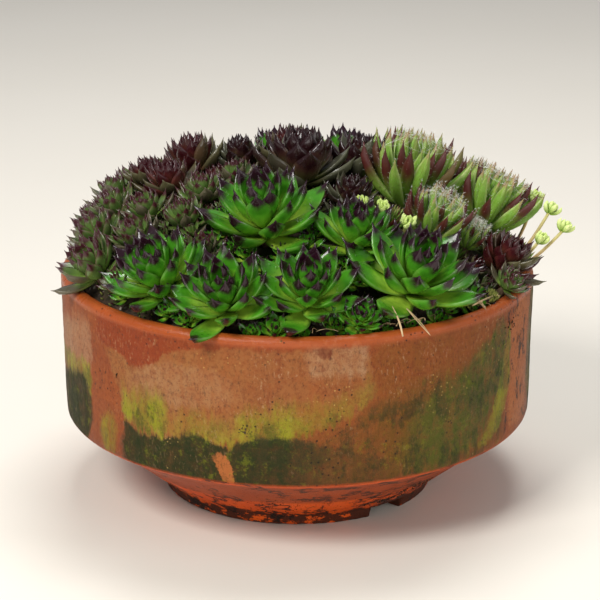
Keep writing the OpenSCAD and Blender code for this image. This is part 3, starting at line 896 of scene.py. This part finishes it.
def add_rosette(soup, place, radius, kind, detail, seed, tips=None):
    """Leaves spiralling out from a closed heart, with their base at place, a 4 by 4 matrix."""
    look, dice = KINDS[kind], random.Random(seed)
    radius *= look["size"]
    count = look["count"] if detail else max(14, look["count"] // 2)
    stations, across = (10, 6) if detail else (7, 4)
    spin = dice.uniform(0, 2 * math.pi)
    basis = np.array(place.to_3x3())
    origin = np.array(place.translation)
    for k in range(count):
        t = (k + 0.5) / count
        stray = dice.uniform(-look["stray"], look["stray"])
        angles = [inner + (outer - inner) * t ** 1.05 + stray
                  for inner, outer in zip(look["inner"], look["outer"])]
        length = radius * (look["heart"] + (1 - look["heart"]) * t ** 0.8) * dice.uniform(0.9, 1.05)
        width = radius * look["width"] * (0.55 + 0.45 * t ** 0.6) * dice.uniform(0.9, 1.06)
        thick = radius * look["thick"] * (0.6 + 0.4 * t)
        verts, faces, colours = leaf_surface(length, width, thick, angles, look["broad"],
                                             look["point"], stations, across)
        verts[:, 0] += radius * (0.015 + 0.07 * t)
        verts[:, 2] += radius * (look["lift"] * (1 - t) ** 1.2 + 0.03)
        turn = spin + GOLDEN * k + dice.uniform(-0.06, 0.06)
        c, s = math.cos(turn), math.sin(turn)
        spun = verts @ np.array([[c, s, 0], [-s, c, 0], [0, 0, 1]])
        colours[:, 2] = 0.5 * t + 0.5 * dice.random()
        placed = spun @ basis.T + origin
        soup.add(placed, faces, colours)
        if tips is not None:
            tips.append((placed, stations, across, t))


def add_stem(soup, place, depth, radius):
    """The short woody neck from the crown down into the compost."""
    path = [place @ Vector((0, 0, z)) for z in np.linspace(-depth, radius * 0.25, 5)]
    verts, faces = tube(path, [3.0 * MM, 2.8 * MM, 2.9 * MM, max(3 * MM, 0.1 * radius), 0.1 * radius], 10)
    soup.add(verts, faces, [(0, 0, 0, 1)] * len(verts))


def upright(at, up):
    """The matrix that stands something at a point with its +Z along up."""
    return Matrix.Translation(at) @ up.to_track_quat("Z", "Y").to_matrix().to_4x4()


def rosette_place(node):
    """Crown matrix, leaf radius and neck depth of a rosette, read from its CAD node's flat faces."""
    mesh = frame["nodes"][node].data
    points = cad_vertices(node)
    lowest = int(points[:, 2].argmin())
    spot = points[lowest]
    near = [p for p in mesh.polygons if min(np.linalg.norm(points[v] - spot) for v in p.vertices) < 1e-6]
    base = min(near, key=lambda p: p.normal.z)
    axis = -base.normal
    down = [(p.center.dot(axis), p) for p in mesh.polygons if p.normal.dot(axis) < -0.9999]
    up = [p.center.dot(axis) for p in mesh.polygons if p.normal.dot(axis) > 0.9999]
    bottom = min(d for d, _ in down)
    foot = [p for d, p in down if d < bottom + 1e-5]
    area = sum(p.area for p in foot)
    centre = sum((p.center * p.area for p in foot), Vector()) / area
    crown = min(d for d, _ in down if d > bottom + 0.5 * MM)
    radius = (max(up) - crown) / CORE_HEIGHT
    return upright(centre + axis * (crown - bottom), axis), radius, crown - bottom


def leaf_material(name, heart, body, tip, edge, tip_from, gloss, mottled=0.25, underside=None,
                  old=None, old_from=0.6, old_fade=(0.15, 0.5), fuzz=0.0):
    """A succulent leaf: pale at its heart, dark towards its tip and margins, waxy or wet.

    Leaves whose chance is over old_from turn to the old colour along old_fade, and fuzz is how strongly
    rusty and pale hairy streaks run along them.
    """
    n = Nodes(name)
    s, v, chance, upper = n.attribute("leaf")
    spots = n.noise(220, 4, seed=1)
    wander = n.mul(n.sub(spots, 0.5), 0.22)
    shift = n.mul(n.sub(0.5, chance), 0.26)
    along = n.add(s, n.add(wander, shift))
    colour = n.mix(n.step(along, 0.12, 0.72), heart, n.mix(chance, body, [0.7 * c for c in body]))
    colour = n.mix(n.mul(n.step(spots, 0.45, 0.7), mottled), colour, n.mix(0.5, body, tip))
    colour = n.mix(n.mul(n.step(v, 0.72, 0.98), 0.75), colour, edge)
    blush = n.add(along, n.mul(v, -0.05))
    flush = n.mul(n.step(blush, tip_from - 0.14, tip_from + 0.06), 0.6)
    colour = n.mix(flush, colour, n.mix(0.5, body, tip))
    colour = n.mix(n.step(blush, tip_from - 0.01, tip_from + 0.14), colour, tip)
    below = n.mul(n.invert(upper), n.mul(n.step(along, tip_from, tip_from - 0.2), 0.5))
    colour = n.mix(below, colour, underside or body)
    if fuzz:
        own_place = n.vector(n.mul(v, 5.0), n.mul(s, 1.6), n.mul(chance, 60.0))
        strands = n.noise(9, 5, seed=13, rough=0.75, place=own_place)
        colour = n.mix(n.mul(n.step(strands, 0.47, 0.40), 0.6), colour, (0.12, 0.024, 0.012))
        colour = n.mix(n.mul(n.step(strands, 0.52, 0.64), fuzz), colour, (0.56, 0.66, 0.36))
    if old:
        aged = n.mul(n.step(chance, old_from, old_from + 0.1), n.step(along, *old_fade))
        colour = n.mix(aged, colour, old)
    # Painted shade: the base of each leaf, down between the overlapping leaves of the rosette, turns
    # towards dark olive.
    colour = n.mix(n.mul(n.invert(n.step(s, 0.0, 0.22)), 0.4), colour, (0.12, 0.12, 0.04))
    roughness = n.add(gloss, n.mul(n.noise(140, 4, seed=3), 0.16))
    drops = n.step(n.cells(380), 0.3, 0.16)
    drops = n.mul(drops, n.step(n.noise(90, 2, seed=9), 0.5, 0.6))
    normal = n.bump([(spots, 0.0006, 0.3), (drops, 0.0006, 0.6)])
    return n.finish(colour, roughness, normal, Specular_IOR_Level=0.42)


def leaf_materials():
    purple_black = (0.016, 0.003, 0.008)
    return {
        "leaf_green": leaf_material(
            "green_houseleek", (0.42, 0.60, 0.06), (0.06, 0.29, 0.012), purple_black,
            (0.13, 0.30, 0.04), 0.745, 0.13, underside=(0.13, 0.42, 0.025)),
        "leaf_purple_green": leaf_material(
            "purple_green_houseleek", (0.26, 0.42, 0.07), (0.11, 0.20, 0.045), (0.045, 0.009, 0.012),
            (0.105, 0.045, 0.036), 0.77, 0.17, old=(0.10, 0.085, 0.050)),
        "leaf_burgundy": leaf_material(
            "burgundy_houseleek", (0.10, 0.09, 0.025), (0.085, 0.017, 0.014), (0.034, 0.004, 0.006),
            (0.12, 0.032, 0.024), 0.68, 0.18, old=(0.085, 0.075, 0.035)),
        "leaf_maroon": leaf_material(
            "maroon_houseleek", (0.13, 0.19, 0.04), (0.055, 0.022, 0.016), (0.016, 0.004, 0.005),
            (0.10, 0.07, 0.035), 0.66, 0.14, old=(0.075, 0.075, 0.045)),
        "leaf_cobweb": leaf_material(
            "cobweb_houseleek", (0.32, 0.58, 0.05), (0.19, 0.42, 0.030), (0.30, 0.17, 0.09),
            (0.46, 0.58, 0.20), 0.90, 0.4, underside=(0.17, 0.36, 0.035), old=(0.070, 0.011, 0.008),
            old_from=0.58, old_fade=(0.2, 0.7), fuzz=0.35),
    }


def stem_material():
    n = Nodes("woody_neck")
    bark = n.noise(300, 5)
    colour = n.mix(bark, (0.05, 0.025, 0.015), (0.2, 0.12, 0.06))
    return n.finish(colour, 0.8, n.bump([(bark, 0.0008, 0.7)]))


def web_material():
    n = Nodes("cobweb_threads")
    tone = n.noise(400, 2)
    return n.finish(n.mix(tone, (0.62, 0.64, 0.56), (0.9, 0.9, 0.86)), 0.85, Specular_IOR_Level=0.2)


def add_hairs(soup, leaves, length, dice):
    """Fine lashes along each leaf's margins and the middle of its back."""
    for placed, stations, across, _ in leaves:
        grid = placed.reshape(stations + 1, 2 * across, 3)
        for row in range(2, stations + 1):
            for edge in (0, across, across + across // 2):
                root = grid[row, edge]
                out = grid[row, edge] - grid[row, across // 2]
                size = np.linalg.norm(out)
                if size < 1e-6:
                    continue
                ahead = grid[row, edge] - grid[row - 1, edge]
                ahead = ahead / max(np.linalg.norm(ahead), 1e-9)
                way = out / size + ahead * dice.uniform(0.3, 1.3) + np.array([0, 0, dice.uniform(0, 0.4)])
                way /= np.linalg.norm(way)
                reach = length * dice.uniform(0.5, 1.2)
                mid, end = root + way * reach * 0.5, root + way * reach
                radii = [0.08 * MM, 0.06 * MM, 0.015 * MM]
                verts, faces = tube([root - way * 0.1 * MM, mid, end], radii, 3)
                soup.add(verts, faces, [(1, 1, 0.5, 1)] * len(verts))


def add_web(soup, leaves, dice):
    """Threads strung from tip to tip over the heart."""
    tips = [placed.reshape(stations + 1, -1, 3)[-2].mean(axis=0)
            for placed, stations, _, t in leaves if t < 0.72]
    for tip in tips:
        near = sorted(range(len(tips)), key=lambda j: np.linalg.norm(tips[j] - tip))[1:7]
        for j in dice.sample(near, 4):
            sag = np.array([dice.uniform(-0.5, 0.5), dice.uniform(-0.5, 0.5), dice.uniform(-0.6, 0.3)]) * MM
            verts, faces = tube([tip, (tip + tips[j]) / 2 + sag, tips[j]], [0.045 * MM] * 3, 3)
            soup.add(verts, faces, [(1, 1, 0.5, 1)] * len(verts))


def make_rosettes(materials, stem, web):
    """Every CAD rosette as a full one. Returns (place, radius, slot) of each for the infill."""
    plants, necks, threads = [], Soup(), Soup()
    for index, (node, slot) in enumerate(sorted(SLOT_OF.items())):
        if slot not in KINDS or node.startswith("runners"):
            continue
        place, radius, depth = rosette_place(node)
        leaves, soup = [], Soup()
        add_rosette(soup, place, radius, slot, True, 100 + index, leaves)
        rosette = soup.build(node + "_leaves", materials[slot])
        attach(rosette, "planting")
        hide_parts(node)
        add_stem(necks, place, depth, radius)
        if slot == "leaf_cobweb":
            dice = random.Random(500 + index)
            add_hairs(threads, leaves, 1.5 * MM, dice)
            add_web(threads, leaves, dice)
        plants.append((place, radius, slot))
    for name, soup, material, slot in (("rosette_necks", necks, stem, "compost"),
                                       ("cobweb_threads", threads, web, "leaf_cobweb")):
        piece = soup.build(name, material)
        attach(piece, "planting")
    return plants


def make_infill(plants, ground, materials):
    """Young offsets that fill the gaps between the rosettes, each of its neighbour's kind."""
    soups = {slot: Soup() for slot in materials}
    taken = [(p.translation.copy(), r * KINDS[slot]["size"]) for p, r, slot in plants]
    dice = random.Random(21)
    for k in range(4200):
        turn, reach = dice.uniform(0, 2 * math.pi), 125 * MM * math.sqrt(dice.random())
        top = Vector((math.cos(turn) * reach, math.sin(turn) * reach, 0.3))
        hit = ground.ray_cast(top, Vector((0, 0, -1)))[0]
        if hit is None:
            continue
        room = min((hit - at).length - 0.44 * r for at, r in taken)
        if room < 4.2 * MM:
            continue
        radius = min(max(room, 7.5 * MM), dice.uniform(9, 15) * MM)
        owner = min(plants, key=lambda p: (p[0].translation - hit).length - p[1])
        slot = owner[2]
        up = (Vector((hit.x * 2.2, hit.y * 2.2, 0.34))).normalized()
        place = upright(hit + Vector((0, 0, 3.5 * MM)), up)
        add_rosette(soups[slot], place, radius, slot, False, 900 + k)
        taken.append((hit, 1.8 * radius))
    for slot, soup in soups.items():
        if soup.count:
            piece = soup.build("young_" + slot[5:], materials[slot])
            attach(piece, "planting")


# ---------------------------------------------------------------- runners, straw and moss

def runner_material():
    n = Nodes("runner_stem")
    s, _, _, _ = n.attribute("leaf")
    colour = n.mix(s, (0.42, 0.16, 0.09), (0.50, 0.46, 0.16))
    return n.finish(colour, 0.45, n.bump([(n.noise(600, 3), 0.0002, 0.4)]))


def bud_material():
    n = Nodes("runner_bud")
    s, _, chance, _ = n.attribute("leaf")
    pale = n.mix(chance, (0.52, 0.66, 0.17), (0.62, 0.72, 0.28))
    colour = n.mix(n.step(s, 0.1, 0.8), (0.26, 0.42, 0.06), pale)
    return n.finish(colour, 0.42, n.bump([(n.noise(500, 3), 0.0002, 0.4)]), Specular_IOR_Level=0.4)


def make_runners(leafy, stem):
    for node in ("runners_right", "runners_middle"):
        stalks, buds = Soup(), Soup()
        for index, solid in enumerate(islands(node)):
            low, high = solid[solid[:, 2].argmin()], solid.mean(axis=0)
            way = (high - low) / np.linalg.norm(high - low)
            reach = (solid - low) @ way
            end = low + way * (reach.max() - 4.5 * MM)
            sag = np.array([0, 0, -0.06 * (end[2] - low[2])])
            path = [low + (end - low) * t + sag * math.sin(math.pi * t) * 2 for t in np.linspace(0, 1, 9)]
            verts, faces = tube(path, [1.15 * MM - 0.2 * MM * t for t in np.linspace(0, 1, 9)], 8)
            colours = [(k // 8 / 8, 0, 0, 1) for k in range(len(verts))]
            stalks.add(verts, faces, colours)
            up = Vector((way[0], way[1], way[2] + 0.55)).normalized()
            place = upright(Vector(end) - up * MM, up)
            add_rosette(buds, place, 5.2 * MM, "bud", False, 70 + index)
        for name, soup, material in ((node + "_stems", stalks, stem), (node + "_plantlets", buds, leafy)):
            piece = soup.build(name, material)
            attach(piece, "planting")
            if name.endswith("stems"):
                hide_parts(node)


def straw_material():
    n = Nodes("dry_straw")
    tone, _, _, _ = n.attribute("leaf")
    fibre = n.noise(300, 4, stretch=(1, 1, 0.3))
    colour = n.mix(tone, (0.3, 0.19, 0.09), (0.62, 0.46, 0.25))
    colour = n.mix(n.mul(fibre, 0.4), colour, (0.16, 0.09, 0.04))
    return n.finish(colour, 0.7, n.bump([(fibre, 0.0003, 0.5)]))


def make_straw(material):
    straws = Soup()
    dice = random.Random(5)
    for solid in islands("dry_stalks"):
        middle = solid.mean(axis=0)
        way = np.linalg.svd(solid - middle)[2][0]
        reach = (solid - middle) @ way
        a, b = middle + way * reach.min(), middle + way * reach.max()
        for _ in range(2):
            lift = np.array([dice.uniform(-1, 1), dice.uniform(-1, 1), dice.uniform(-0.4, 0.8)]) * 1.2 * MM
            path = [a + (b - a) * t + lift * math.sin(math.pi * t) for t in np.linspace(0, 1, 10)]
            thick = dice.uniform(0.25, 0.45) * MM
            verts, faces = tube(path, [thick * (1 - 0.5 * t) for t in np.linspace(0, 1, 10)], 6)
            straws.add(verts, faces, [(dice.random(), 0, 0, 1)] * len(verts))
    for k in range(26):
        turn = math.radians(dice.gauss(22, 9) if k < 12 else dice.gauss(58, 9))
        reach = dice.uniform(124, 129) * MM
        root = np.array([math.sin(turn) * reach, -math.cos(turn) * reach, 134.6 * MM])
        way = turn + dice.uniform(-1.4, 1.4)
        size = dice.uniform(5, 13) * MM
        if reach + size * math.cos(way - turn) > 138 * MM:
            size = 8 * MM
        tip = root + np.array([math.sin(way), -math.cos(way), dice.uniform(0.02, 0.25)]) * size
        bow = np.array([dice.uniform(-1, 1), dice.uniform(-1, 1), dice.uniform(0.3, 1.5)]) * 1.2 * MM
        path = [root + (tip - root) * t + bow * math.sin(math.pi * t) for t in np.linspace(0, 1, 9)]
        verts, faces = tube(path, [dice.uniform(0.14, 0.3) * MM] * 9, 5)
        straws.add(verts, faces, [(dice.random(), 0, 0, 1)] * len(verts))
    piece = straws.build("dry_straws", material)
    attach(piece, "planting")
    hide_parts("dry_stalks")


def moss_material():
    n = Nodes("cushion_moss")
    s, _, chance, _ = n.attribute("leaf")
    colour = n.mix(s, (0.012, 0.016, 0.004), n.mix(chance, (0.05, 0.09, 0.012), (0.26, 0.27, 0.05)))
    return n.finish(colour, 0.8, Specular_IOR_Level=0.25)


def make_moss(material, ground):
    """Moss in tufts on its cushion and in the gaps near the rim, as bunches of tiny pointed shoots."""
    shoots, dice = Soup(), random.Random(31)
    cushion = BVHTree.FromObject(frame["nodes"]["moss_cushion"], bpy.context.evaluated_depsgraph_get())
    low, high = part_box("moss_cushion")
    spots = []
    for _ in range(1100):
        top = Vector((dice.uniform(low[0], high[0]), dice.uniform(low[1], high[1]), 0.2))
        spots.append((cushion, top, 1.0))
    for _ in range(2600):
        turn, reach = dice.uniform(0, 2 * math.pi), 129 * MM * math.sqrt(dice.random())
        spots.append((ground, Vector((math.cos(turn) * reach, math.sin(turn) * reach, 0.3)), 0.8))
    for tree, top, size in spots:
        hit, normal, _, _ = tree.ray_cast(top, Vector((0, 0, -1)))
        if hit is None or normal.z < 0.2 or noise(hit * 55) < -0.12 * size:
            continue
        way = (normal + Vector((dice.uniform(-0.6, 0.6), dice.uniform(-0.6, 0.6), 0.4))).normalized()
        reach = dice.uniform(1.6, 3.6) * MM * size
        path = [hit - way * 0.6 * MM, hit + way * reach * 0.5, hit + way * reach]
        verts, faces = tube(path, [0.55 * MM, 0.6 * MM, 0.08 * MM], 4)
        chance = min(1, max(0, 0.5 + noise(hit * 30) + dice.uniform(-0.3, 0.3)))
        shoots.add(verts, faces, [(k // 4 / 2, 0, chance, 1) for k in range(len(verts))])
    moss = shoots.build("moss_shoots", material)
    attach(moss, "planting")
    pad = remeshed_copy("moss_cushion", "moss_pad", material, 1.2 * MM, 0.8 * MM, 4 * MM)
    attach(pad, "planting")
    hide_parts("moss_cushion")


# ---------------------------------------------------------------- floor

def make_floor():
    n = Nodes("pale_floor")
    tone = n.noise(3, 3)
    material = n.finish(n.mix(tone, (0.70, 0.66, 0.58), (0.74, 0.70, 0.63)), 0.62, Specular_IOR_Level=0.3)
    size = 6.0
    floor = make_object("floor", [(-size, -size, 0), (size, -size, 0), (size, size, 0), (-size, size, 0)],
                        [(0, 1, 2, 3)], material)


# ---------------------------------------------------------------- build

make_camera()
make_lights()
make_floor()
make_pot(clay_material())
make_crocks(shard_material())
compost = compost_material()
make_crumbs(compost)
make_grit(grit_material())
mound = make_root_ball(compost, root_material())
leaf_looks = leaf_materials()
grown = make_rosettes(leaf_looks, stem_material(), web_material())
make_infill(grown, mound, leaf_looks)
make_runners(bud_material(), runner_material())
make_straw(straw_material())
make_moss(moss_material(), mound)
